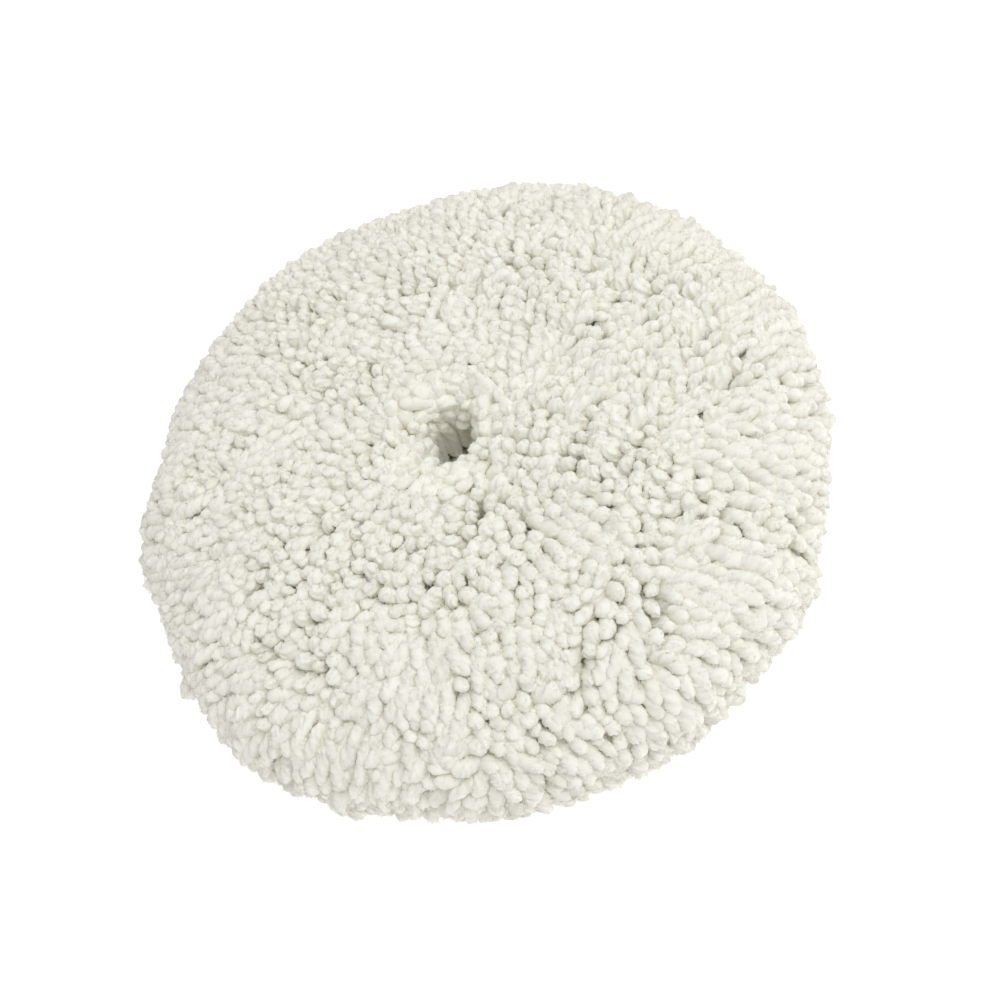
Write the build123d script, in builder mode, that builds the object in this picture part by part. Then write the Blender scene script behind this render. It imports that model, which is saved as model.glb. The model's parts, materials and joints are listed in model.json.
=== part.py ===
"""A round wool polishing pad: tufts of twisted yarn on a laminated, hook-and-loop backing.

Millimetres, +Z up. The origin is the centre of the loop face, which lies at z = 0. The pile
stands up from it, and +Z is the pad's turning axis.
"""
from build123d import *
import math
import os

# Overall size
pad_radius = 100.0          # tip to axis, all round the rim
pad_height = 40.0           # loop face to the top of the crown
backing_radius = 94.0       # the cut edge of the laminated backing
hole_radius = 8.0           # centring hole through the backing

# Layers of the backing, from the loop face up
loop_thickness = 2.2
glue_thickness = 0.3
foam_thickness = 5.6
latex_thickness = 0.6
cloth_thickness = 0.8
inner_layer_setback = 0.6   # the glue, foam and latex stop this far inside the cut edge

# Seams
thread_radius = 0.4
rim_seam_radius = 88.0
hole_seam_radius = 12.5
seam_groove_width = 1.6
seam_groove_depth = 1.0

# Pile
crown_inner_radius = 22.0   # the crown starts here, past the funnel round the hole
crown_level_radius = 38.0   # the crown is level from here
crown_outer_radius = 62.0   # out to here
funnel_height = 37.6        # top of the pile where the funnel meets the crown
throat_radius = 7.0         # the narrowest place, where the tufts lean over the hole
throat_height = 30.0
shoulder_radius = 88.0
shoulder_height = 33.5
widest_height = 18.0        # height of the widest circle of tips
lower_edge_radius = 96.5
lower_edge_height = 2.4     # the lowest tips hang almost to the loop face
pile_clearance = 0.3        # between the pile and the backing's cut edge
parting = 0.3               # between one ring of tufts and the next

# Each ring of tufts ends at a parting, given by its radius on the cloth and its lean outwards
hole_parting = (20.0, 2.0)
inner_parting = (40.0, 5.0)
outer_parting = (59.0, 12.0)
shoulder_parting = (74.0, 28.0)
rim_parting = (84.0, 58.0)
far_reach = 150.0           # past every outline, for the shapes that cut it

# Heights of the layers
glue_height = loop_thickness
foam_height = glue_height + glue_thickness
upper_glue_height = foam_height + foam_thickness
latex_height = upper_glue_height + glue_thickness
cloth_height = latex_height + latex_thickness
pile_height = cloth_height + cloth_thickness


def save(piece, name):
    """Labels one finished piece and writes it as its own node."""
    piece.part.label = name
    export_step(piece.part, f"parts/{name}.step")
    print(f"{name}: {piece.part.volume / 1000:.2f} cm3")


def washer(bottom, thickness, outer_radius):
    """One flat layer of the backing, with the centring hole through it."""
    with BuildPart() as layer:
        with BuildSketch(Plane.XY.offset(bottom)):
            Circle(outer_radius)
            Circle(hole_radius, mode=Mode.SUBTRACT)
        extrude(amount=thickness)
    return layer


def thread_ring(seam_radius, middle_height):
    """One thread of a lockstitch seam, as the ring that it follows."""
    with BuildPart() as ring:
        with BuildSketch(Plane.XZ):
            with Locations((seam_radius, middle_height)):
                Circle(thread_radius)
        revolve(axis=Axis.Z)
    return ring


def beyond(line):
    """Where a parting line, drawn out from the cloth, is well past the pile's outline."""
    radius, lean = line
    angle = math.radians(lean)
    return (radius + far_reach * math.sin(angle), pile_height + far_reach * math.cos(angle))


def shifted(line, distance):
    """The same parting line, moved along the cloth so that it stands off by this distance."""
    radius, lean = line
    return (radius + distance / math.cos(math.radians(lean)), lean)


def tuft_ring(inner_line, outer_line):
    """One ring of the pile: its section between two partings, turned about the axis."""
    inside = shifted(inner_line, parting / 2) if inner_line else (0.0, 0.0)
    outside = shifted(outer_line, -parting / 2) if outer_line else (far_reach, 90.0)
    edge = backing_radius + pile_clearance
    with BuildPart() as ring:
        with BuildSketch(Plane.XZ):
            with BuildLine():
                Line((hole_radius, pile_height), (edge, pile_height))
                Line((edge, pile_height), (edge, lower_edge_height))
                Line((edge, lower_edge_height), (lower_edge_radius, lower_edge_height))
                Spline(
                    (lower_edge_radius, lower_edge_height),
                    (pad_radius, widest_height),
                    tangents=((1, 1.5), (0, 1)),
                )
                Spline(
                    (pad_radius, widest_height),
                    (shoulder_radius, shoulder_height),
                    (crown_outer_radius, pad_height),
                    tangents=((0, 1), (-1, 0)),
                )
                Line((crown_outer_radius, pad_height), (crown_level_radius, pad_height))
                Spline(
                    (crown_level_radius, pad_height),
                    (crown_inner_radius, funnel_height),
                    (throat_radius, throat_height),
                    tangents=((-1, 0), (-0.1, -1)),
                )
                Line((throat_radius, throat_height), (hole_radius, pile_height))
            make_face()
            for seam in (rim_seam_radius, hole_seam_radius):
                with Locations((seam, pile_height)):
                    Rectangle(seam_groove_width, 2 * seam_groove_depth, mode=Mode.SUBTRACT)
            with BuildLine():
                if outer_line:
                    Polyline(
                        (inside[0], pile_height),
                        (outside[0], pile_height),
                        beyond(outside),
                        beyond(inside),
                        close=True,
                    )
                else:
                    Polyline(
                        (inside[0], pile_height),
                        beyond(inside),
                        (far_reach * 2, 0),
                        (inside[0], 0),
                        close=True,
                    )
            make_face(mode=Mode.INTERSECT)
        revolve(axis=Axis.Z)
    return ring


os.makedirs("parts", exist_ok=True)

# Loop face: the knitted fabric that a hook plate grips, with a groove pulled in by each seam
with BuildPart() as loop_face:
    with BuildSketch(Plane.XY):
        Circle(backing_radius)
        Circle(hole_radius, mode=Mode.SUBTRACT)
    extrude(amount=loop_thickness)
    for seam in (rim_seam_radius, hole_seam_radius):
        with BuildSketch(Plane.XY):
            Circle(seam + seam_groove_width / 2)
            Circle(seam - seam_groove_width / 2, mode=Mode.SUBTRACT)
        extrude(amount=seam_groove_depth, mode=Mode.SUBTRACT)
save(loop_face, "loop_face")

# The layers between the loop face and the tufts
inner_radius = backing_radius - inner_layer_setback
save(washer(glue_height, glue_thickness, inner_radius), "loop_glue_film")
save(washer(foam_height, foam_thickness, inner_radius), "foam_cushion")
save(washer(upper_glue_height, glue_thickness, inner_radius), "cloth_glue_film")
save(washer(latex_height, latex_thickness, inner_radius), "latex_lock_coat")
save(washer(cloth_height, cloth_thickness, backing_radius), "tufting_cloth")

# Lockstitch seams: a bobbin thread in the loop face's groove, a needle thread on the cloth
for seam_name, seam in (("rim_seam", rim_seam_radius), ("hole_seam", hole_seam_radius)):
    save(thread_ring(seam, seam_groove_depth / 2), f"{seam_name}_bobbin_thread")
    save(thread_ring(seam, pile_height + seam_groove_depth / 2), f"{seam_name}_needle_thread")

# Pile: six rings of tufts, from the hole to the lower edge
ring_partings = {
    "hole_tufts": (None, hole_parting),
    "inner_crown_tufts": (hole_parting, inner_parting),
    "outer_crown_tufts": (inner_parting, outer_parting),
    "shoulder_tufts": (outer_parting, shoulder_parting),
    "rim_tufts": (shoulder_parting, rim_parting),
    "lower_edge_tufts": (rim_parting, None),
}
for ring_name, (inner_line, outer_line) in ring_partings.items():
    save(tuft_ring(inner_line, outer_line), ring_name)
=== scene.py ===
# %% [markdown]
# # A twisted-wool polishing pad
# The pad is a disc of thick twisted yarn. Each length of yarn, a tuft, is stitched through a woven
# cloth, and the cloth is laminated onto foam and a loop fabric that grips the machine's plate.
# The CAD model gives every layer its place. This lesson adds what makes it read as wool: thousands
# of separate tufts, the fabrics underneath, the seams, and the finishes.

# %% Load the frame
import json
import math
import bpy
import numpy as np
from mathutils import Matrix, Vector, kdtree


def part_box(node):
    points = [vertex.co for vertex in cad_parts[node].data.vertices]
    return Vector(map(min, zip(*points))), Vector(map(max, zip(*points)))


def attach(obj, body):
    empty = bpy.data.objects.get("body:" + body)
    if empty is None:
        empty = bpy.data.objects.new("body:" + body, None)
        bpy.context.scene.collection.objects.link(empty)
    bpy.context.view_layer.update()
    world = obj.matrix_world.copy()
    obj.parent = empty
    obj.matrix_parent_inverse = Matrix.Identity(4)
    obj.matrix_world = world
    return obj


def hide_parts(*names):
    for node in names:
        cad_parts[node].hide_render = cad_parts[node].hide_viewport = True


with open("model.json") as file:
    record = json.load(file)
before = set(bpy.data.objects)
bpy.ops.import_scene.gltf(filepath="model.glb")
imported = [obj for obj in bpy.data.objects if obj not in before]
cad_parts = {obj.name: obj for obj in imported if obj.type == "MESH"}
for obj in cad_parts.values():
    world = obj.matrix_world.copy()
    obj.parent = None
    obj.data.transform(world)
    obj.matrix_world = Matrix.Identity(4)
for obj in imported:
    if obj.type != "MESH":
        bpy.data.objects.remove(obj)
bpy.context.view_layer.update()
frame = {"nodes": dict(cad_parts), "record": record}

MM = 0.001
rng = np.random.default_rng(41)
print("CAD nodes:", sorted(frame["nodes"]))

# %% [markdown]
# ## Sizes from the frame
# Nothing is fitted by eye: the radii and heights that the tufts and fabrics need are read from the
# CAD nodes' boxes, and the hole's radius from the mount that the record gives for it.

# %% Read the sizes
pad_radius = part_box("lower_edge_tufts")[1][0]
pad_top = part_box("outer_crown_tufts")[1][2]
pile_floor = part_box("tufting_cloth")[1][2]
backing_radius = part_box("loop_face")[1][0]
lowest_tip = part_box("lower_edge_tufts")[0][2]
hole_mount = next(m for m in frame["record"]["mounts"] if m["name"] == "centre_hole")
hole_radius = hole_mount["dims"]["r_mm"] * MM
hole_ring_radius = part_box("hole_tufts")[1][0]
inner_crown_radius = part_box("inner_crown_tufts")[1][0]
outer_crown_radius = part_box("outer_crown_tufts")[1][0]
shoulder_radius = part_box("shoulder_tufts")[1][0]
lower_edge_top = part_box("lower_edge_tufts")[1][2]
print(f"pad {2000 * pad_radius:.0f} mm across, {1000 * pad_top:.0f} mm thick,"
      f" pile starts at {1000 * pile_floor:.1f} mm")

# %% [markdown]
# ## The camera
# The pad lies on its loop face and is seen from about a third of the way down from straight
# overhead, with the camera rolled a little. A camera could be placed by hand in the viewport, but
# a tilt, a roll and a distance from the pad's middle say the same view in three numbers. A short
# distance with a normal lens gives the near side its extra size. The camera comes first, so that
# everything after it can be judged through it.

# %% Camera
camera_tilt = math.radians(31.8)
camera_roll = math.radians(29.7)
camera_distance = 0.3735
camera_lens = 46.6
framing = (9.4 * MM, -9.9 * MM)   # right and up, so the pad sits a little up and left of the middle

camera_data = bpy.data.cameras.new("camera")
camera_data.lens = camera_lens
camera_data.clip_start = 0.01
camera = bpy.data.objects.new("camera", camera_data)
bpy.context.scene.collection.objects.link(camera)
bpy.context.scene.camera = camera
aim = Vector((0.0, 0.0, pad_top / 2))
away = Vector((0.0, -math.sin(camera_tilt), math.cos(camera_tilt)))
facing = away.to_track_quat("Z", "Y").to_matrix().to_4x4() @ Matrix.Rotation(-camera_roll, 4, "Z")
view_right, view_up = facing.col[0].xyz, facing.col[1].xyz
camera.matrix_world = Matrix.Translation(
    aim + away * camera_distance + view_right * framing[0] + view_up * framing[1]) @ facing
print("camera at", [round(v, 3) for v in camera.matrix_world.translation])

# %% [markdown]
# ## The pile's outline
# Cut from the axis to the rim, the pile is a low dome: a throat that dips into the hole, a level
# crown, a round shoulder, and a side that tucks in under the backing's edge. One smooth curve
# through a few (radius, height) points is enough, because the pad is round. A Catmull-Rom curve
# passes through its points, so the points are the outline itself.

# %% Outline curve
throat_radius = hole_radius - 1.3 * MM
outline_points = np.array([
    (throat_radius - 2.0 * MM, pad_top - 13.5 * MM),
    (throat_radius, pad_top - 7.5 * MM),
    (throat_radius + 1.6 * MM, pad_top - 4.4 * MM),
    (hole_radius + 6.5 * MM, pad_top - 2.2 * MM),
    (hole_ring_radius + 3.0 * MM, pad_top - 0.8 * MM),
    (inner_crown_radius, pad_top),
    (outer_crown_radius, pad_top - 0.6 * MM),
    (shoulder_radius + 1.0 * MM, pad_top - 6.2 * MM),
    (pad_radius - 2.9 * MM, pad_top - 13.5 * MM),
    (pad_radius, lower_edge_top - 2.0 * MM),
    (pad_radius - 1.2 * MM, lowest_tip + 6.5 * MM),
    (pad_radius - 3.2 * MM, lowest_tip + 1.0 * MM),
])


curve_steps = 24


def through_points(points, steps=curve_steps):
    """A Catmull-Rom curve through the points, as many short steps."""
    ends = np.vstack([2 * points[0] - points[1], points, 2 * points[-1] - points[-2]])
    curve = []
    for i in range(len(points) - 1):
        a, b, c, d = ends[i:i + 4]
        t = np.linspace(0, 1, steps, endpoint=False)[:, None]
        curve.append(0.5 * (2 * b + (c - a) * t + (2 * a - 5 * b + 4 * c - d) * t ** 2
                            + (3 * b - a - 3 * c + d) * t ** 3))
    return np.vstack([*curve, points[-1:]])


outline = through_points(outline_points)
outline_run = np.concatenate([[0], np.cumsum(np.linalg.norm(np.diff(outline, axis=0), axis=1))])
outline_length = outline_run[-1]


def on_outline(run):
    """Radius, height and the outward tangent at a distance along the outline."""
    radius = np.interp(run, outline_run, outline[:, 0])
    height = np.interp(run, outline_run, outline[:, 1])
    ahead = np.clip(run + MM, 0, outline_length)
    behind = np.clip(run - MM, 0, outline_length)
    tangent = np.stack([
        np.interp(ahead, outline_run, outline[:, 0]) - np.interp(behind, outline_run, outline[:, 0]),
        np.interp(ahead, outline_run, outline[:, 1]) - np.interp(behind, outline_run, outline[:, 1]),
    ], axis=-1)
    tangent /= np.linalg.norm(tangent, axis=-1, keepdims=True)
    return radius, height, tangent


print(f"outline {1000 * outline_length:.0f} mm from throat to lower edge")

# %% [markdown]
# ## Where the tufts end
# A tufting machine works in rows, so the tips are laid out in rings that get further apart
# towards the rim, where the yarn lies over instead of standing up. Each tip is then nudged at
# random, and crowded ones push each other apart: that keeps the packing of real pile, with no
# rings left to see.

# %% Rows of tips
yarn_width = 4.4 * MM
crown_row_gap = 3.9 * MM
rim_row_gap = 4.7 * MM
first_row = 0.8 * MM
level_part = slice(0, 7 * curve_steps)
crown_run = np.interp(outer_crown_radius - 8 * MM, outline[level_part, 0], outline_run[level_part])


def row_gap(run):
    """Rows are close on the crown and open out over the shoulder."""
    over = np.clip((run - crown_run) / (0.55 * (outline_length - crown_run)), 0, 1)
    return crown_row_gap + (rim_row_gap - crown_row_gap) * over * over * (3 - 2 * over)


row_runs = [first_row]
while row_runs[-1] + row_gap(row_runs[-1]) < outline_length:
    row_runs.append(row_runs[-1] + row_gap(row_runs[-1]))

tip_run, tip_angle = [], []
for run in row_runs:
    radius = on_outline(run)[0]
    count = max(7, round(2 * math.pi * radius / yarn_width))
    spread = 2 * math.pi / count
    tip_angle.append(spread * (np.arange(count) + rng.uniform(0, 1))
                     + rng.uniform(-0.38, 0.38, count) * spread)
    tip_run.append(run + rng.uniform(-0.38, 0.38, count) * row_gap(run))
tip_run = np.clip(np.concatenate(tip_run), 0, outline_length)
tip_angle = np.concatenate(tip_angle)
print(len(tip_run), "tufts in", len(row_runs), "rows")


def push_apart(run, angle, rounds=14):
    """Moves crowded tips away from each other, counting a wide row gap as one yarn width."""
    for _ in range(rounds):
        radius, height, _ = on_outline(run)
        stretch = row_gap(run) / crown_row_gap
        place = np.stack([radius * np.cos(angle), radius * np.sin(angle), height], axis=1)
        tree = kdtree.KDTree(len(place))
        for i, p in enumerate(place):
            tree.insert(p, i)
        tree.balance()
        move_run, move_side = np.zeros(len(run)), np.zeros(len(run))
        for i, p in enumerate(place):
            for _, j, _ in tree.find_range(p, yarn_width * 1.7):
                if j == i:
                    continue
                along = (run[i] - run[j]) / stretch[i]
                side = math.remainder(angle[i] - angle[j], 2 * math.pi) * radius[i]
                apart = math.hypot(along, side)
                if 1e-9 < apart < yarn_width:
                    push = 0.22 * (yarn_width - apart) / apart
                    move_run[i] += push * along * stretch[i]
                    move_side[i] += push * side
        run = np.clip(run + move_run, 0, outline_length)
        angle = angle + move_side / np.maximum(radius, 4 * MM)
    return run, angle


tip_run, tip_angle = push_apart(tip_run, tip_angle)

# %% [markdown]
# ## How the tufts lean
# Wool doesn't stand to attention. Over the crown it wanders in small drifts, which meet in partings
# or huddle into clumps; round the hole it falls inwards; over the rim it lies down and hangs.
# The drifts come from a smooth random field: a sum of sine waves in random directions, which
# gives the same answer every run and needs no texture.

# %% Random drifts


def random_drift(wavelength, waves=14):
    """A function that gives a smooth random vector of about unit size at each point."""
    way = rng.normal(size=(waves, 3))
    way /= np.linalg.norm(way, axis=1, keepdims=True)
    way *= 2 * math.pi / wavelength * rng.uniform(0.7, 1.4, (waves, 1))
    phase = rng.uniform(0, 2 * math.pi, (waves, 3))

    def drift(points):
        turn = points @ way.T
        return np.sin(turn[:, :, None] + phase[None]).sum(axis=1) / math.sqrt(waves / 2)

    return drift


wide_drift = random_drift(34 * MM)
small_drift = random_drift(12 * MM)
swelling_drift = random_drift(42 * MM)
upward = np.array([0.0, 0.0, 1.0])
# a lump of fluffed-up yarn beside the hole, and a place where the yarn was combed flat
clump_place = np.array([-3.4 * MM, 13.8 * MM, pad_top])
clump_size = np.array([10.0, 6.8, 12.0]) * MM
combed_place = np.array([-24.0 * MM, -6.0 * MM, pad_top])
combed_size = np.array([15.0, 15.0, 15.0]) * MM
# the pile's opening isn't quite over the hole in the backing, and it is longer than wide
hole_shift = np.array([-0.2, 3.1, 0.0]) * MM
hole_stretch = 1.5 * MM
hole_long_way = np.array([0.567, 0.824, 0.0])


def patch(points, place, size):
    """1 at the place, falling smoothly to 0 about two sizes away."""
    return np.exp(-np.sum(((points - place) / size) ** 2, axis=1))


def near_angle(angle, middle, width):
    """1 at the middle angle, falling smoothly to 0 about two widths to either side, in degrees."""
    off = (np.degrees(angle) - middle + 180) % 360 - 180
    return np.exp(-((off / width) ** 2))


def bulge(angle):
    """How far the soft rim is squeezed out of round: each bulge's height, middle angle and width."""
    return MM * (3.4 * near_angle(angle, -1, 8) + 3.0 * near_angle(angle, 305, 9)
                 + 2.5 * near_angle(angle, 280, 10)
                 + 2.0 * near_angle(angle, 103, 14) + 2.0 * near_angle(angle, 210, 12))


def splayed(angle):
    """1 at the one place where the backing's edge stands out past the pile."""
    return near_angle(angle, 265, 9)


splay = 2.5 * MM
splay_start = backing_radius - 12 * MM


def splay_edge(r, angle):
    """A backing point's radius, pushed outwards near the edge, where the edge splays."""
    bent = np.clip((r - splay_start) / (backing_radius - splay_start), 0, 1.1) ** 2
    return r + splay * splayed(angle) * bent


# degrees from upright
lean_on_crown = 32
more_at_rim = 33
more_where_combed = 38
less_at_hole = 5
lean_swing = 8
# how strongly each drift, and the tuft's own way, turns it
wide_share, small_share, own_share = 0.32, 0.28, 0.33
usual_size, size_spread = 0.99, 0.15
least_size, most_size = 0.62, 1.4
clump_growth = 0.9
clump_rise = 5.5 * MM
crown_rise = 1.1 * MM
swell_rise = 0.6 * MM


def lay_tufts(run, angle, short=0.0):
    """Each tip's place and direction, with its yarn's size. Short tufts end lower."""
    radius, height, tangent = on_outline(run)
    outward = np.stack([np.cos(angle), np.sin(angle), np.zeros_like(angle)], axis=1)
    surface = radius[:, None] * outward + height[:, None] * upward
    flow = tangent[:, :1] * outward + tangent[:, 1:] * upward
    normal = -tangent[:, 1:] * outward + tangent[:, :1] * upward
    wide, small = wide_drift(surface), small_drift(surface)
    swell = swelling_drift(surface)
    hole_side = np.clip((hole_ring_radius + 1 * MM - radius) / (12 * MM), 0, 1)
    rim_side = np.clip((run - crown_run) / (0.55 * (outline_length - crown_run)), 0, 1)
    rim_side = rim_side * rim_side * (3 - 2 * rim_side)
    clump = patch(surface, clump_place, clump_size)
    combed = patch(surface, combed_place, combed_size)
    lean = (lean_on_crown + more_at_rim * rim_side + lean_swing * swell[:, 1] * (1 - hole_side)
            + more_where_combed * combed - less_at_hole * hole_side)
    lean = np.radians(np.clip(lean, -20, 78))[:, None]
    free = (1 - 0.7 * combed)[:, None]
    way = (np.cos(lean) * normal + np.sin(lean) * flow
           + free * (wide_share * wide + small_share * small
                     + own_share * rng.normal(size=surface.shape)))
    way /= np.linalg.norm(way, axis=1, keepdims=True)
    own_size = np.clip(rng.normal(usual_size, size_spread, len(run)), least_size, most_size)
    size = 0.5 * yarn_width * own_size * (1 + clump_growth * clump * (1 - hole_side))
    length = size * rng.uniform(1.3, 2.1 + 0.5 * rim_side)
    steep = np.clip(np.sum(way * normal, axis=1), 0, 1)
    sink = (size + (length - size) * steep + 0.35 * MM * np.abs(rng.normal(size=len(run)))
            - swell_rise * swell[:, 0] - clump_rise * clump - crown_rise * (1 - hole_side) + short)
    huddle = (0.6 * wide + 0.5 * small) * MM * (1 - hole_side[:, None])
    huddle -= np.sum(huddle * normal, axis=1, keepdims=True) * normal
    huddle += hole_shift * hole_side[:, None]
    huddle += (hole_stretch * hole_side * (outward @ hole_long_way))[:, None] * hole_long_way
    huddle += (bulge(angle) * rim_side)[:, None] * outward
    huddle += (splayed(angle) * np.clip(shortest_tip - height, 0, None))[:, None] * upward
    return {
        "run": run, "angle": angle, "radius": radius, "height": height, "outward": outward,
        "way": way, "centre": surface + huddle - sink[:, None] * normal,
        "size": size, "length": length, "hole_side": hole_side, "clump": clump,
    }


shortest_tip = 9 * MM    # over the splayed edge, the lowest tips end at about this height
long_tufts = lay_tufts(tip_run, tip_angle)

# %% [markdown]
# ## Short tufts in the gaps
# Where drifts part, a gap would open and show black, but in real pile there is always a shorter
# tuft further down. Random places are tried all over the surface, and a short tuft goes in
# wherever no tip is near.

# %% Fill the gaps
tries = 36_000
gap_to_fill = 0.41 * yarn_width
short_by = 1.0 * MM
short_apart = 0.85 * yarn_width
share_of_area = np.concatenate([[0], np.cumsum(np.diff(outline_run) * outline[1:, 0])])
try_run = np.interp(rng.uniform(0, share_of_area[-1], tries), share_of_area, outline_run)
try_angle = rng.uniform(0, 2 * math.pi, tries)
taken = kdtree.KDTree(len(tip_run))
for i, p in enumerate(long_tufts["centre"]):
    taken.insert(p, i)
taken.balance()
r, z, t = on_outline(try_run)
depth = yarn_width * 0.75
r = r + t[:, 1] * depth
try_place = np.stack([r * np.cos(try_angle), r * np.sin(try_angle), z - t[:, 0] * depth], axis=1)
in_gap = [i for i, p in enumerate(try_place) if taken.find(p)[2] > gap_to_fill]
nearby = kdtree.KDTree(len(in_gap))
for i in in_gap:
    nearby.insert(try_place[i], i)
nearby.balance()
added, blocked = [], set()
for i in in_gap:
    if i not in blocked:
        added.append(i)
        blocked.update(j for _, j, _ in nearby.find_range(try_place[i], short_apart))
short_tufts = lay_tufts(try_run[added], try_angle[added], short_by)
tufts = {key: np.concatenate([long_tufts[key], short_tufts[key]]) for key in long_tufts}
radius, height, outward = tufts["radius"], tufts["height"], tufts["outward"]
tip_run, tip_angle, hole_side = tufts["run"], tufts["angle"], tufts["hole_side"]
tip_centre, tip_way = tufts["centre"], tufts["way"]
yarn_radius, tip_length, clump = tufts["size"], tufts["length"], tufts["clump"]
around = np.stack([-outward[:, 1], outward[:, 0], np.zeros(len(radius))], axis=1)
print(len(added), "short tufts;", len(radius), "in all")

# %% [markdown]
# ## Where the tufts start
# The needles put the yarn into the cloth at an even spacing, from just outside the hole's seam to
# just inside the cut edge. Sharing the cloth's area out among the rows in order gives each row
# its radius there, and so the tufts fan out by themselves towards the rim.

# %% Roots in the cloth
first_root = hole_radius + 1.9 * MM
last_root = backing_radius - 2.4 * MM
row_order = np.argsort(tip_run, kind="stable")
share = np.empty(len(tip_run))
share[row_order] = (np.arange(len(tip_run)) + 0.5) / len(tip_run)
root_radius = np.sqrt(first_root ** 2 + (last_root ** 2 - first_root ** 2) * share)
root = root_radius[:, None] * outward + (pile_floor + 0.1 * MM) * upward
print(f"roots from {1000 * root_radius.min():.1f} to {1000 * root_radius.max():.1f} mm")

# %% [markdown]
# ## One tuft of four-ply yarn
# A tuft leaves the cloth upright and bends towards its tip, so its middle line is a Bezier curve.
# The section is a circle with four lobes, one for each ply, and it turns as it climbs: that is the
# twist. Near the cut end the plies loosen, swell and end at slightly different lengths.
# A sweep of one section along a curve could be done with a curve object's bevel, but the changing
# lobes, swelling and rounded end are easier to say as a grid of points, all tufts at once.

# %% Tuft shape
plies = 4
section_points = 16
lobe_depth = 0.10
turn_length = 12.0 * MM
hole_turn_length = 26.0 * MM    # round the hole the yarn is seen full length and has untwisted
# distances back from the tip: close together where the tuft shows, far apart in the dark
ring_back = np.array([0.10, 0.45, 1.05, 1.85, 2.8, 3.9, 5.1, 6.5, 8.2, 10.5, 15.0, 21.0]) * MM
long_ring_back = np.concatenate([ring_back[:8], np.arange(8.0, 33.0, 1.6) * MM])
twist_seen = 9.0 * MM    # below this the twist isn't modelled, so the far rings stay in line


def bezier(p, t):
    """Points and tangents of cubic Bezier curves, for all tufts and all t at once."""
    a, b, c, d = (q[:, None, :] for q in p)
    t = t[:, :, None]
    u = 1 - t
    place = u ** 3 * a + 3 * u * u * t * b + 3 * u * t * t * c + t ** 3 * d
    way = 3 * u * u * (b - a) + 6 * u * t * (c - b) + 3 * t * t * (d - c)
    return place, way / np.linalg.norm(way, axis=2, keepdims=True)


reach = np.linalg.norm(tip_centre - root, axis=1)
chord = (tip_centre - root) / reach[:, None]
least_along = 0.45    # stiff yarn doesn't fold back on itself, so each tip points partly along its tuft
too_bent = np.clip(least_along - np.sum(tip_way * chord, axis=1), 0, None)
tip_way = tip_way + too_bent[:, None] * chord
tip_way /= np.linalg.norm(tip_way, axis=1, keepdims=True)
print(np.count_nonzero(too_bent), "tufts straightened")
bend = 0.42 * reach
control = (
    root,
    root + bend[:, None] * upward,
    tip_centre - bend[:, None] * tip_way,
    tip_centre,
)


def tuft_points(pick, ring_back, turn_length, twisted):
    """Vertices of the picked tufts, as (tuft, point, xyz), and their yarn coordinates."""
    picked = [c[pick] for c in control]
    size = yarn_radius[pick]
    count = len(size)
    length = reach[pick]
    back = np.concatenate([np.broadcast_to(ring_back, (count, len(ring_back))),
                           length[:, None]], axis=1)
    back = np.minimum(back, length[:, None])
    taper = tip_length[pick][:, None]
    inside = np.maximum(back - taper, 0)
    t = 1 - inside / length[:, None]
    middle, way = bezier(picked, np.clip(t, 0, 1))
    ahead = np.maximum(taper - back, 0)
    middle = middle + ahead[:, :, None] * way
    dome = np.clip(1 - (ahead / taper) ** 2, 0, 1) ** 0.55
    narrowing = 0.15 * (1 - hole_side[pick][:, None])
    swelling = 1 + 0.10 * np.exp(-((back / (3.2 * MM)) ** 2)) - narrowing * np.clip(
        (back - 6 * MM) / (16 * MM), 0, 1)
    girth = size[:, None] * dome * swelling
    side = np.cross(way, around[pick][:, None, :])
    side /= np.linalg.norm(side, axis=2, keepdims=True)
    across = np.cross(side, way)
    spin = spin_start[pick][:, None] + 2 * math.pi * np.minimum(back, twisted) / turn_length
    step = np.linspace(0, 2 * math.pi, section_points, endpoint=False)
    theta = step[None, None, :] + spin[:, :, None]
    loosened = 1 + 0.5 * np.exp(-((back / (2.4 * MM)) ** 2))
    depth = lobe_depth * (1 - 0.6 * clump[pick][:, None]) * loosened
    lobes = 1 + depth[:, :, None] * np.cos(plies * step)[None, None, :]
    squeezed = 1 + squeeze[pick][:, None, None] * np.cos(2 * (theta - squeeze_way[pick][:, None, None]))
    r = girth[:, :, None] * lobes * squeezed
    ring = (middle[:, :, None, :]
            + (r * np.cos(theta))[..., None] * across[:, :, None, :]
            + (r * np.sin(theta))[..., None] * side[:, :, None, :])
    ply = np.floor(((step / (2 * math.pi) * plies) + 0.5) % plies).astype(int)
    uneven = ply_end[pick][:, ply]
    fade = np.exp(-((back / (1.6 * MM)) ** 2))
    ring += (uneven[:, None, :] * fade[:, :, None])[..., None] * way[:, :, None, :]
    pole = middle[:, 0] - way[:, 0] * (0.06 * size)[:, None]
    foot = middle[:, -1] - way[:, -1] * 0.1 * MM
    fibres = fibre_points(ring, middle, way, count)
    points = np.concatenate([ring.reshape(count, -1, 3), pole[:, None], foot[:, None], fibres], axis=1)
    low = np.minimum(points[..., 2] / MM - 1, 0)     # yarn that reaches the table is pressed flat on it
    points[..., 2] = np.where(low < 0, (0.1 + 0.9 * np.exp(low / 0.9)) * MM, points[..., 2])
    streak = np.stack([
        np.broadcast_to(np.cos(step), r.shape),
        np.broadcast_to(np.sin(step), r.shape),
        np.broadcast_to((back / (12 * MM))[:, :, None], r.shape),
    ], axis=-1).reshape(count, -1, 3)
    ends = np.zeros((count, 2 + fibres.shape[1], 3))
    ends[:, 1, 2] = 2
    streak = np.concatenate([streak, ends], axis=1) + own_place[pick][:, None, :]
    return points, streak


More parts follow.
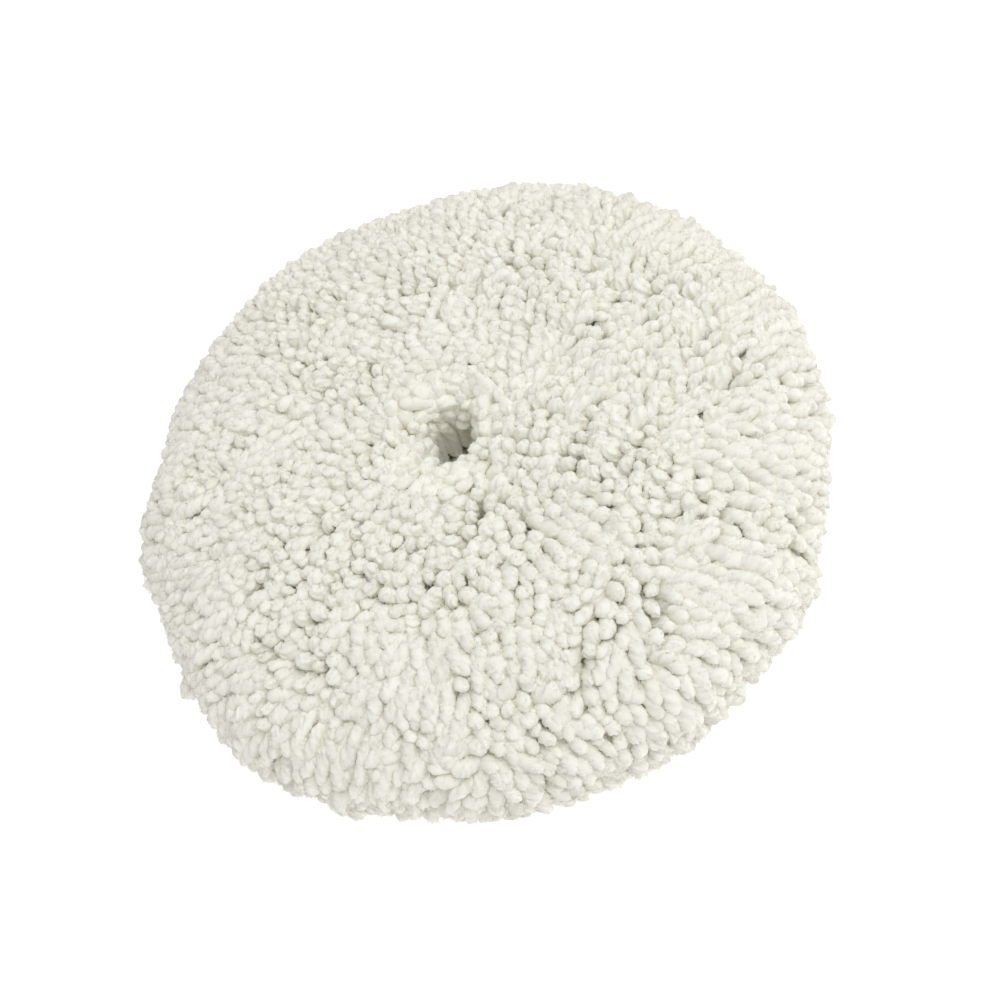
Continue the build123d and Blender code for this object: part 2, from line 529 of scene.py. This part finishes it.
# %% [markdown]
# ## Stray fibres
# Yarn is never clean: short fibres stand off it everywhere and soften every edge. Each tuft gets a
# few, as thin three-sided spikes that start just inside the yarn. They are few and a little thick
# next to real ones, because a real wool fibre is far too thin to render or to count.

# %% Fibre shape
fibres_per_tuft = 36
fibre_radius = 0.06 * MM
fibre_rings = 9          # they grow only where the tuft shows


def fibre_points(ring, middle, way, count):
    """Spikes that grow from random places on the tufts' rings of points."""
    tuft = np.arange(count)[:, None]
    k = rng.integers(1, fibre_rings, (count, fibres_per_tuft))
    j = rng.integers(0, section_points, (count, fibres_per_tuft))
    start = ring[tuft, k, j]
    out = start - middle[tuft, k]
    out /= np.linalg.norm(out, axis=2, keepdims=True)
    length = rng.uniform(0.7, 1.9, (count, fibres_per_tuft, 1)) * MM
    stray = rng.normal(size=(2, *start.shape))
    first = 0.55 * out + 0.75 * way[tuft, k] + 0.35 * stray[0]
    first /= np.linalg.norm(first, axis=2, keepdims=True)
    second = first + 0.8 * stray[1]
    second /= np.linalg.norm(second, axis=2, keepdims=True)
    bottom = start - 0.25 * MM * out
    knee = start + 0.5 * length * first
    end = knee + 0.5 * length * second
    wide = np.cross(first, out)
    wide /= np.linalg.norm(wide, axis=2, keepdims=True) + 1e-12
    deep = np.cross(first, wide)
    corners = []
    for place in (bottom, knee):
        for turn in range(3):
            angle = 2 * math.pi * turn / 3
            corners.append(place + fibre_radius * (math.cos(angle) * wide + math.sin(angle) * deep))
    return np.stack([*corners, end], axis=2).reshape(count, -1, 3)


def fibre_faces(first_vertex):
    """The faces of one tuft's fibres, numbered from the first fibre's first vertex."""
    faces = []
    for f in range(fibres_per_tuft):
        v = first_vertex + 7 * f
        faces.append((v, v + 2, v + 1))
        for turn in range(3):
            after = (turn + 1) % 3
            faces.append((v + turn, v + after, v + 3 + after, v + 3 + turn))
            faces.append((v + 3 + turn, v + 3 + after, v + 6))
    return faces


# %% Each tuft's own differences
spin_start = rng.uniform(0, 2 * math.pi, len(radius))
uneven_ply = 0.24 * MM
most_squeezed = 0.20
ply_end = rng.normal(0, uneven_ply, (len(radius), plies))
squeeze = rng.uniform(0, most_squeezed, len(radius))
squeeze_way = rng.uniform(0, math.pi, len(radius))
own_place = rng.uniform(0, 40, (len(radius), 3))
own_tone = rng.uniform(0, 1, len(radius))


def tuft_faces(rings):
    """The faces of one tuft: a tube, closed at the tip and at the root."""
    faces = []
    for k in range(rings - 1):
        for j in range(section_points):
            a, b = k * section_points + j, k * section_points + (j + 1) % section_points
            faces.append((a, a + section_points, b + section_points, b))
    tip, foot, last = rings * section_points, rings * section_points + 1, (rings - 1) * section_points
    for j in range(section_points):
        after = (j + 1) % section_points
        faces.append((tip, j, after))
        faces.append((foot, last + after, last + j))
    return faces + fibre_faces(foot + 1)


triangles = [sum(len(f) - 2 for f in tuft_faces(len(back) + 1)) for back in (ring_back, long_ring_back)]
print(f"{triangles[0]} triangles a tuft, {triangles[1]} round the hole")

# %% [markdown]
# ## Wool
# Undyed wool is a warm ivory, and its shadows are never black. Subsurface scattering would be the
# usual way to soften it, but where tufts run into each other it shows grey seams. So the colour is
# pale, the light may bounce many times, and sheen stands for the fuzz. Each tuft has its own tone.
# The fine lines are the fibres: noise that is stretched along the ply, read from the yarn
# coordinates stored on the mesh, and used as bump.

# %% Wool material


def new_material(name):
    """An empty node material, its node tree and its Principled shader."""
    material = bpy.data.materials.new(name)
    material.use_nodes = True
    tree = material.node_tree
    return material, tree, tree.nodes["Principled BSDF"]


def wire(tree, kind, inputs=(), **settings):
    """Adds a node, sets its properties, and links or sets its inputs."""
    node = tree.nodes.new(kind)
    for key, value in settings.items():
        setattr(node, key, value)
    for key, value in dict(inputs).items():
        if isinstance(value, bpy.types.NodeSocket):
            tree.links.new(value, node.inputs[key])
        else:
            node.inputs[key].default_value = value
    return node


def ramp(tree, factor, *stops):
    """A colour ramp through (position, grey or colour) stops."""
    node = wire(tree, "ShaderNodeValToRGB", {"Fac": factor})
    elements = node.color_ramp.elements
    while len(elements) < len(stops):
        elements.new(0.5)
    for element, (position, colour) in zip(elements, stops):
        element.position = position
        element.color = (colour, colour, colour, 1) if isinstance(colour, float) else (*colour, 1)
    return node.outputs["Color"]


def paint(tree, shader, factor, *stops):
    """Links a colour ramp to the shader's colour."""
    tree.links.new(ramp(tree, factor, *stops), shader.inputs["Base Color"])


def roughen(tree, shader, height, strength, distance):
    """Links bump from the height to the shader."""
    bump = wire(tree, "ShaderNodeBump", {"Strength": strength, "Distance": distance, "Height": height})
    tree.links.new(bump.outputs[0], shader.inputs["Normal"])


wool, tree, shader = new_material("wool")
streak = wire(tree, "ShaderNodeAttribute", attribute_name="yarn").outputs["Vector"]
tone = wire(tree, "ShaderNodeAttribute", attribute_name="tone").outputs["Fac"]
stretched = wire(tree, "ShaderNodeMapping", {"Vector": streak, "Scale": (2.6, 2.6, 1.6)})
fibres = wire(tree, "ShaderNodeTexNoise",
              {"Vector": stretched.outputs[0], "Scale": 1.6, "Detail": 3.0, "Roughness": 0.6})
shade = wire(tree, "ShaderNodeMix", {0: 0.45, 2: tone, 3: fibres.outputs["Fac"]})
paint(tree, shader, shade.outputs[0],
      (0.15, (0.86, 0.846, 0.765)), (0.5, (0.90, 0.888, 0.81)), (0.85, (0.93, 0.92, 0.85)))
roughen(tree, shader, fibres.outputs["Fac"], 0.35, 0.35 * MM)
shader.inputs["Roughness"].default_value = 0.9
shader.inputs["Sheen Weight"].default_value = 0.7
shader.inputs["Sheen Roughness"].default_value = 0.5
shader.inputs["Sheen Tint"].default_value = (1.0, 0.98, 0.92, 1)
shader.inputs["Specular IOR Level"].default_value = 0.2

# %% [markdown]
# ## Making the rings of tufts
# The six CAD rings say which tufts belong together. A ring with many tufts is made as several
# arcs of the circle, so that no mesh grows too large to handle.

# %% Build the pile
most_triangles = 185_000


def node_of_tip(r, z):
    """The CAD ring that a tip belongs to."""
    inner = np.where(r < hole_ring_radius, 0, np.where(r < inner_crown_radius, 1, 2))
    outer = np.where((r > outer_crown_radius) | (z < lower_edge_top), 3, inner)
    outer = np.where((outer == 3) & (r > shoulder_radius), 4, outer)
    return np.where(z < lower_edge_top - 3 * MM, 5, outer)


ring_nodes = ["hole_tufts", "inner_crown_tufts", "outer_crown_tufts",
              "shoulder_tufts", "rim_tufts", "lower_edge_tufts"]
tip_ring = node_of_tip(radius, height)


def mesh_from(name, points, faces, material):
    """A new smooth object from arrays of points and faces."""
    mesh = bpy.data.meshes.new(name)
    mesh.from_pydata(points.reshape(-1, 3).tolist(), [], faces)
    mesh.polygons.foreach_set("use_smooth", np.ones(len(mesh.polygons), bool))
    mesh.materials.append(material)
    mesh.update()
    piece = bpy.data.objects.new(name, mesh)
    bpy.context.scene.collection.objects.link(piece)
    return piece


def build_tufts(name, pick):
    """One piece of pile from the picked tufts, with its yarn coordinates and tones."""
    in_hole = "hole" in name
    rings_at = long_ring_back if in_hole else ring_back
    twist = (hole_turn_length, np.inf) if in_hole else (turn_length, twist_seen)
    points, streak_points = tuft_points(pick, rings_at, *twist)
    per_tuft = points.shape[1]
    template = [list(f) for f in tuft_faces(len(rings_at) + 1)]
    faces = [[v + start for v in f]
             for start in range(0, per_tuft * len(pick), per_tuft) for f in template]
    piece = mesh_from(name, points, faces, wool)
    yarn = piece.data.attributes.new("yarn", "FLOAT_VECTOR", "POINT")
    yarn.data.foreach_set("vector", streak_points.astype(np.float32).ravel())
    tones = piece.data.attributes.new("tone", "FLOAT", "POINT")
    tones.data.foreach_set("value", np.repeat(own_tone[pick], per_tuft).astype(np.float32))
    return piece


for number, node in enumerate(ring_nodes):
    members = np.flatnonzero(tip_ring == number)
    members = members[np.argsort(tip_angle[members] % (2 * math.pi), kind="stable")]
    arcs = math.ceil(len(members) * triangles[node == "hole_tufts"] / most_triangles)
    for arc, pick in enumerate(np.array_split(members, arcs)):
        name = f"wool_{node}" if arcs == 1 else f"wool_{node}_{arc + 1}"
        piece = build_tufts(name, pick)
        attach(piece, "root")
        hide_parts(node)
        print(name, len(pick), "tufts")

# %% [markdown]
# ## Layers turned like washers
# The laminated backing is five flat rings on top of each other. Each is its cut section swept round
# the axis, the way a lathe would make it, with a small change to every point so that no layer is
# machine-perfect: fabric puckers at its seams, foam is pitted, glue and latex creep unevenly.
# A plain cylinder with a hole would have the size but none of that.

# %% Layer heights
layer_bottom = {name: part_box(name)[0][2] for name in frame["nodes"]}
layer_top = {name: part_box(name)[1][2] for name in frame["nodes"]}
inner_layer_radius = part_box("foam_cushion")[1][0]
print(f"laminate {1000 * (layer_top['tufting_cloth'] - layer_bottom['loop_face']):.1f} mm thick")

# %% Turned rings

def finely(corners, step):
    """The corners of a closed section, with points added so that none are further apart than step."""
    section = []
    for a, b in zip(corners, corners[1:] + corners[:1]):
        a, b = np.array(a), np.array(b)
        parts = max(1, math.ceil(np.linalg.norm(b - a) / step))
        section += [a + (b - a) * k / parts for k in range(parts)]
    return np.array(section)


def ring_faces(around_count, section_count):
    """Quads of a closed section swept all the way round."""
    i, k = np.meshgrid(np.arange(around_count), np.arange(section_count), indexing="ij")
    i_next, k_next = (i + 1) % around_count, (k + 1) % section_count
    return np.stack([i * section_count + k, i_next * section_count + k,
                     i_next * section_count + k_next, i * section_count + k_next], axis=-1).reshape(-1, 4)


def turned(name, node, section, steps, material, change):
    """A closed ring from its (radius, height) section, changed point by point."""
    angle = np.linspace(0, 2 * math.pi, steps, endpoint=False)[:, None]
    r = np.broadcast_to(section[None, :, 0], (steps, len(section))).copy()
    z = np.broadcast_to(section[None, :, 1], (steps, len(section))).copy()
    r, z = change(r, z, angle)
    r = splay_edge(r, angle)
    points = np.stack([r * np.cos(angle), r * np.sin(angle), z], axis=-1)
    piece = mesh_from(name, points, ring_faces(steps, len(section)).tolist(), material)
    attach(piece, "root")
    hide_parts(node)
    print(name, len(piece.data.polygons), "faces")
    return piece


def splayed_points(points):
    """The same push for loose points, as (..., xyz)."""
    angle = np.arctan2(points[..., 1], points[..., 0])
    r = splay_edge(np.hypot(points[..., 0], points[..., 1]), angle)
    return np.stack([r * np.cos(angle), r * np.sin(angle), points[..., 2]], axis=-1)


def uneven_edge(amount, waves=11):
    """A smooth random creep of an edge, by angle."""
    count = rng.integers(3, 60, waves)
    phase = rng.uniform(0, 2 * math.pi, waves)

    def creep(angle):
        return amount * np.sin(count * angle + phase).sum(axis=1, keepdims=True) / math.sqrt(waves)

    return creep


def washer_section(bottom, top, outer, inner, step):
    """The section of a flat ring, from its lower inner corner outwards."""
    return finely([(inner, bottom), (outer, bottom), (outer, top), (inner, top)], step)


# %% [markdown]
# ## Loop fabric
# The face that the machine's plate grips is a thin knit with a brushed pile of tiny loops. The knit
# is one sheet; the loops are separate little arches, thousands of them, and they stop at the two
# seams, where the stitches press them flat. Hooks need something to catch, so the loops are real
# shapes here and not a pattern.

# %% Loop fabric
knit_bottom = 0.85 * MM
seam_pull = 0.16 * MM
stitch_length = {"rim_seam": 4.2 * MM, "hole_seam": 3.3 * MM}
seam_radius = {name: 0.5 * (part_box(f"{name}_bobbin_thread")[1][0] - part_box(f"{name}_bobbin_thread")[0][0])
               - 0.4 * MM for name in stitch_length}
stitches = {name: round(2 * math.pi * seam_radius[name] / stitch_length[name]) for name in stitch_length}
print("stitches:", stitches)


def stitch_dip(name, angle, width):
    """1 where the needle went through, 0 between the stitches."""
    pitch = 2 * math.pi / stitches[name]
    off = (angle / pitch - np.round(angle / pitch)) * pitch * seam_radius[name]
    return np.exp(-((off / width) ** 2))


def puckered(r, z, angle):
    """The knit: pulled in at every stitch, and a little wavy everywhere."""
    wave = 0.05 * MM * np.sin(r / (1.9 * MM) + 3 * np.sin(5 * angle)) * np.sin(61 * angle)
    pull = sum(stitch_dip(name, angle, 1.1 * MM) * np.exp(-(((r - seam_radius[name]) / (1.3 * MM)) ** 2))
               for name in stitches)
    low = z < knit_bottom + 0.3 * MM
    return r, z + np.where(low, seam_pull * pull + wave, -0.5 * wave)


loop_fabric_finish, tree, shader = new_material("loop_fabric")
place = wire(tree, "ShaderNodeTexCoord").outputs["Object"]
knit = wire(tree, "ShaderNodeTexWave", {"Vector": place, "Scale": 420.0, "Distortion": 1.2, "Detail": 2.0})
lint = wire(tree, "ShaderNodeTexNoise", {"Vector": place, "Scale": 900.0, "Detail": 4.0})
shade = wire(tree, "ShaderNodeMix", {0: 0.6, 2: knit.outputs["Fac"], 3: lint.outputs["Fac"]})
paint(tree, shader, shade.outputs[0], (0.2, (0.50, 0.49, 0.46)), (0.8, (0.72, 0.71, 0.67)))
roughen(tree, shader, shade.outputs[0], 0.5, 0.2 * MM)
shader.inputs["Roughness"].default_value = 0.75
shader.inputs["Sheen Weight"].default_value = 0.35
shader.inputs["Specular IOR Level"].default_value = 0.3

knit_section = washer_section(knit_bottom, layer_top["loop_face"], backing_radius, hole_radius, 1.5 * MM)
knit_sheet = turned("loop_fabric", "loop_face", knit_section, 420, loop_fabric_finish, puckered)

# %% Loops
loop_gap = 2.05 * MM
loop_thick = 0.13 * MM
loop_span = 0.5 * MM
loop_sides = 3
x, y = np.meshgrid(np.arange(-backing_radius, backing_radius, loop_gap),
                   np.arange(-backing_radius, backing_radius, loop_gap * 0.87))
x = (x + 0.5 * loop_gap * (np.arange(len(x)) % 2)[:, None]).ravel() + rng.uniform(-0.4, 0.4, x.size) * MM
y = y.ravel() + rng.uniform(-0.4, 0.4, y.size) * MM
r = np.hypot(x, y)
clear = (r > hole_radius + 0.9 * MM) & (r < backing_radius - 0.7 * MM)
for name in seam_radius:
    clear &= np.abs(r - seam_radius[name]) > 1.0 * MM
x, y = x[clear], y[clear]
turn = rng.uniform(0, math.pi, len(x))
along = np.stack([np.cos(turn), np.sin(turn), np.zeros(len(x))], axis=1)
slant = rng.normal(0, 0.35, (len(x), 2)) * MM
low = rng.uniform(loop_thick, 0.32 * MM, len(x))
root_z = layer_bottom["loop_face"] + knit_bottom + 0.15 * MM
foot_place = np.stack([x, y, np.full(len(x), root_z)], axis=1)
drop = np.stack([slant[:, 0], slant[:, 1], low - root_z], axis=1)
path = np.stack([foot_place + sway * loop_span * along + fall * drop
                 for sway, fall in ((-1, 0), (-1.15, 0.7), (0, 1), (1.15, 0.7), (1, 0))], axis=1)
tangent = np.gradient(path, axis=1)
tangent /= np.linalg.norm(tangent, axis=2, keepdims=True)
flat_way = np.cross(along, drop)
flat_way = (flat_way / np.linalg.norm(flat_way, axis=1, keepdims=True))[:, None, :]
up_way = np.cross(tangent, flat_way)
spokes = np.linspace(0, 2 * math.pi, loop_sides, endpoint=False)
loop_points = np.stack([path + loop_thick * (math.cos(s) * up_way + math.sin(s) * flat_way)
                        for s in spokes], axis=2)
k, j = np.meshgrid(np.arange(4), np.arange(loop_sides), indexing="ij")
j_next = (j + 1) % loop_sides
one_loop = np.stack([k * loop_sides + j, (k + 1) * loop_sides + j,
                     (k + 1) * loop_sides + j_next, k * loop_sides + j_next], axis=-1).reshape(-1, 4)
loop_faces = (one_loop[None] + (np.arange(len(x)) * 5 * loop_sides)[:, None, None]).reshape(-1, 4)
loops = mesh_from("loops_on_fabric", splayed_points(loop_points), loop_faces.tolist(), loop_fabric_finish)
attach(loops, "root")
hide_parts("loop_face")
print(len(x), "loops")

# %% [markdown]
# ## Foam
# The cushion is open-cell polyurethane, cut with a hot wire, so its cut walls are pitted with opened
# cells and stand out a little where the sheet was squeezed. Pits are pushed into the wall point by
# point; the finer cells are bump from a cell pattern.

# %% Foam cushion
pit_depth = 0.22 * MM
wall_bulge = 0.35 * MM


def foamy(r, z, angle):
    """A wall that bulges in the middle of its height and is pitted."""
    bottom, top = layer_bottom["foam_cushion"], layer_top["foam_cushion"]
    height = (z - bottom) / (top - bottom)
    wall_side = np.where(r > 50 * MM, 1.0, -1.0)
    wall = (np.abs(r - inner_layer_radius) < 1e-6) | (np.abs(r - hole_radius) < 1e-6)
    bulge = wall_bulge * (4 * height * (1 - height) - 1)
    pits = -pit_depth * rng.uniform(0, 1, r.shape) ** 3
    return r + np.where(wall, wall_side * (bulge + pits), 0), z


foam_finish, tree, shader = new_material("foam")
place = wire(tree, "ShaderNodeTexCoord").outputs["Object"]
cells = wire(tree, "ShaderNodeTexVoronoi", {"Vector": place, "Scale": 1400.0})
patches = wire(tree, "ShaderNodeTexNoise", {"Vector": place, "Scale": 60.0, "Detail": 3.0})
shade = wire(tree, "ShaderNodeMix", {0: 0.35, 2: patches.outputs["Fac"], 3: cells.outputs["Distance"]})
paint(tree, shader, shade.outputs[0], (0.2, (0.62, 0.58, 0.44)), (0.7, (0.80, 0.77, 0.62)))
roughen(tree, shader, cells.outputs["Distance"], 0.8, 0.3 * MM)
shader.inputs["Roughness"].default_value = 0.95
shader.inputs["Specular IOR Level"].default_value = 0.15

foam_section = washer_section(layer_bottom["foam_cushion"], layer_top["foam_cushion"],
                              inner_layer_radius, hole_radius, 0.8 * MM)
on_wall = (foam_section[:, 0] > inner_layer_radius - 1e-6) | (foam_section[:, 0] < hole_radius + 1e-6)
every_sixth = np.arange(len(foam_section)) % 6 == 0
foam = turned("foam_core", "foam_cushion", foam_section[on_wall | every_sixth], 640, foam_finish, foamy)

# %% [markdown]
# ## Glue films and latex
# Two thin films of glue join fabric, foam and cloth, and a thicker coat of latex locks the yarn's
# roots. Spread by a roller and then cut through with the pad, they creep back unevenly from the
# cut. A clear amber glue and a dull cream latex are told apart by colour and by how they shine.

# %% Films and coat
glue_finish, tree, shader = new_material("glue")
place = wire(tree, "ShaderNodeTexCoord").outputs["Object"]
streaks = wire(tree, "ShaderNodeTexNoise", {"Vector": place, "Scale": 110.0, "Detail": 3.0})
paint(tree, shader, streaks.outputs["Fac"], (0.3, (0.62, 0.50, 0.28)), (0.7, (0.76, 0.66, 0.42)))
tree.links.new(ramp(tree, streaks.outputs["Fac"], (0.3, 0.22), (0.7, 0.45)), shader.inputs["Roughness"])
latex_finish, tree, shader = new_material("latex")
place = wire(tree, "ShaderNodeTexCoord").outputs["Object"]
lumps = wire(tree, "ShaderNodeTexNoise", {"Vector": place, "Scale": 240.0, "Detail": 4.0})
paint(tree, shader, lumps.outputs["Fac"], (0.3, (0.66, 0.62, 0.50)), (0.7, (0.80, 0.77, 0.66)))
roughen(tree, shader, lumps.outputs["Fac"], 0.6, 0.3 * MM)
shader.inputs["Roughness"].default_value = 0.6


def crept(outer_amount):
    """A change for turned(): both cut edges creep inwards by an uneven amount."""
    outer_edge, inner_edge = uneven_edge(outer_amount), uneven_edge(0.4 * outer_amount)

    def change(r, z, angle):
        outer = np.clip((r - 0.8 * inner_layer_radius) / (0.2 * inner_layer_radius), 0, 1)
        inner = np.clip((2 * hole_radius - r) / hole_radius, 0, 1)
        back = -0.9 * outer_amount * outer + 0.4 * outer_amount * inner
        return r + back + outer * outer_edge(angle) + inner * inner_edge(angle), z

    return change


for name, node, creep, finish, slot in (
        ("glue_on_loop_fabric", "loop_glue_film", 0.5 * MM, glue_finish, "glue"),
        ("glue_under_latex", "cloth_glue_film", 0.5 * MM, glue_finish, "glue"),
        ("latex_coat", "latex_lock_coat", 0.35 * MM, latex_finish, "latex")):
    section = washer_section(layer_bottom[node], layer_top[node], inner_layer_radius, hole_radius, 8 * MM)
    film = turned(name, node, section, 480, finish, crept(creep))

# %% [markdown]
# ## Woven cloth
# The cloth that holds the yarn is a plain weave of flat tapes: each goes over one and under the
# next. Every tape is made, cut off where it meets the round edge or the hole, so the weave runs
# straight across the disc as a real cut does, and the edge shows cut ends.

# %% Tufting cloth
tape_gap = 3.0 * MM
tape_half_width = 0.78 * MM
tape_half_thick = 0.10 * MM
weave_rise = 0.22 * MM
cloth_middle = 0.5 * (layer_bottom["tufting_cloth"] + layer_top["tufting_cloth"])
tape_corners = np.array([(-1, -1), (1, -1), (1, 1), (-1, 1)])


def tape_runs(offset):
    """The stretches of a straight tape that lie on the cloth, as (start, end)."""
    edge = backing_radius - 0.3 * MM
    half = math.sqrt(max(edge ** 2 - offset ** 2, 0))
    if abs(offset) >= hole_radius + 0.2 * MM:
        return [(-half, half)]
    gap = math.sqrt((hole_radius + 0.2 * MM) ** 2 - offset ** 2)
    return [(-half, -gap), (gap, half)]


cloth_points, cloth_faces = [], []
for direction in (0, 1):
    lines = round(backing_radius / tape_gap)
    for line in range(-lines, lines + 1):
        offset = (line + 0.25) * tape_gap
        if abs(offset) > backing_radius - 1.5 * MM:
            continue
        for start, end in tape_runs(offset):
            steps = max(3, round((end - start) / (0.5 * tape_gap)) + 1)
            run = np.linspace(start, end, steps)
            over = np.cos(math.pi * (run / tape_gap - 0.25)) * (-1) ** (line + direction)
            middle = cloth_middle + weave_rise * over
            side = offset + rng.normal(0, 0.05 * MM, steps)
            first = sum(len(p) for p in cloth_points)
            for a, h in tape_corners:
                lateral = side + a * tape_half_width
                flat_point = (run, lateral) if direction == 0 else (lateral, run)
                cloth_points.append(np.stack([*flat_point, middle + h * tape_half_thick], axis=1))
            c = [first + corner * steps for corner in range(4)]
            turned_round = direction == 1
            made = []
            for k in range(steps - 1):
                for corner in range(4):
                    a, b = c[corner] + k, c[(corner + 1) % 4] + k
                    made.append((a, b, b + 1, a + 1))
            made.append((c[3], c[2], c[1], c[0]))
            made.append(tuple(q + steps - 1 for q in c))
            cloth_faces += [f if turned_round else f[::-1] for f in made]

cloth_finish, tree, shader = new_material("woven_cloth")
place = wire(tree, "ShaderNodeTexCoord").outputs["Object"]
slits = wire(tree, "ShaderNodeTexNoise", {"Vector": place, "Scale": 700.0, "Detail": 3.0})
paint(tree, shader, slits.outputs["Fac"], (0.3, (0.66, 0.60, 0.46)), (0.7, (0.80, 0.75, 0.62)))
roughen(tree, shader, slits.outputs["Fac"], 0.4, 0.1 * MM)
shader.inputs["Roughness"].default_value = 0.45

cloth = mesh_from("woven_cloth", splayed_points(np.concatenate(cloth_points)), cloth_faces, cloth_finish)
cloth.data.polygons.foreach_set("use_smooth", np.zeros(len(cloth.data.polygons), bool))
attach(cloth, "root")
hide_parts("tufting_cloth")
print("woven cloth:", len(cloth_faces), "faces")

# %% [markdown]
# ## Seams
# A lockstitch has two threads: the needle's on the cloth and the bobbin's on the loop face. Each lies
# along its circle and dives into the layers at every stitch, where the two lock. The thread is
# two-ply, so its section is a figure of eight that turns as it goes.

# %% Threads
thread_radius = 0.5 * (layer_top["rim_seam_bobbin_thread"] - layer_bottom["rim_seam_bobbin_thread"])
thread_points = 10
thread_step = 0.55 * MM
thread_turn = 2.6 * MM
dive = 0.75 * MM

thread_finish, tree, shader = new_material("thread")
ply_place = wire(tree, "ShaderNodeTexCoord").outputs["Object"]
lint = wire(tree, "ShaderNodeTexNoise", {"Vector": ply_place, "Scale": 1600.0, "Detail": 2.0})
paint(tree, shader, lint.outputs["Fac"], (0.3, (0.74, 0.72, 0.66)), (0.7, (0.88, 0.87, 0.82)))
shader.inputs["Roughness"].default_value = 0.55
shader.inputs["Sheen Weight"].default_value = 0.2

for seam in stitches:
    for thread, into in (("bobbin", 1.0), ("needle", -1.0)):
        node = f"{seam}_{thread}_thread"
        count = round(2 * math.pi * seam_radius[seam] / thread_step)
        angle = np.linspace(0, 2 * math.pi, count, endpoint=False)
        sway = uneven_edge(0.06 * MM)(angle[:, None])[:, 0]
        middle_r = seam_radius[seam] + sway
        middle_z = (0.5 * (layer_bottom[node] + layer_top[node])
                    + into * dive * stitch_dip(seam, angle, 0.45 * MM))
        turns = round(2 * math.pi * seam_radius[seam] / thread_turn)
        spoke = np.linspace(0, 2 * math.pi, thread_points, endpoint=False)[None, :]
        twist = turns * angle[:, None]
        size = thread_radius * (0.72 + 0.28 * np.abs(np.cos(spoke - twist)))
        r = splay_edge(middle_r[:, None] + size * np.cos(spoke), angle[:, None])
        z = middle_z[:, None] + size * np.sin(spoke)
        points = np.stack([r * np.cos(angle[:, None]), r * np.sin(angle[:, None]), z], axis=-1)
        stitched = mesh_from(f"{seam}_{thread}_stitches", points,
                             ring_faces(count, thread_points).tolist(), thread_finish)
        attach(stitched, "root")
        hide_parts(node)
        print(stitched.name, stitches[seam], "stitches")

# %% [markdown]
# ## Floor and light
# A plain pale table and one large soft lamp high at the back, with an even sky that fills the
# shadows. One lamp alone would leave hard black shadows, and a sky alone would look flat: together
# they shape each tuft and keep the gaps soft. The lamp's place is given along the view's own
# directions, so it keeps its side if the camera is moved in the script.

# %% Floor
floor_mesh = bpy.data.meshes.new("floor")
floor_half = 12.0
floor_mesh.from_pydata([(-floor_half, -floor_half, 0), (floor_half, -floor_half, 0),
                        (floor_half, floor_half, 0), (-floor_half, floor_half, 0)], [], [(0, 1, 2, 3)])
floor = bpy.data.objects.new("floor", floor_mesh)
bpy.context.scene.collection.objects.link(floor)
paper, tree, shader = new_material("pale_paper")
shader.inputs["Base Color"].default_value = (0.93, 0.93, 0.93, 1)
shader.inputs["Roughness"].default_value = 0.95
shader.inputs["Specular IOR Level"].default_value = 0.0
shader.inputs["Emission Color"].default_value = (1, 1, 1, 1)
shader.inputs["Emission Strength"].default_value = 0.4
floor_mesh.materials.append(paper)

# %% Lamp and sky
scene = bpy.context.scene
scene.view_settings.view_transform = "Standard"
scene.cycles.diffuse_bounces = 12    # in white wool, light bounces many times before it is gone
world = bpy.data.worlds.new("studio")
scene.world = world
world.use_nodes = True
world.node_tree.nodes["Background"].inputs["Color"].default_value = (1, 1, 1, 1)
world.node_tree.nodes["Background"].inputs["Strength"].default_value = 0.73


def area_lamp(name, place, size, power, target=(0, 0, 0)):
    """A square soft lamp that faces the target."""
    data = bpy.data.lights.new(name, "AREA")
    data.shape = "SQUARE"
    data.size = size
    data.energy = power
    lamp = bpy.data.objects.new(name, data)
    lamp.location = place
    lamp.rotation_euler = (Vector(place) - Vector(target)).to_track_quat("Z", "Y").to_euler()
    scene.collection.objects.link(lamp)
    return lamp


key_place = aim + view_right * 0.20 + view_up * 0.46 + away * 0.74
area_lamp("key", key_place, 0.8, 3.3, aim)
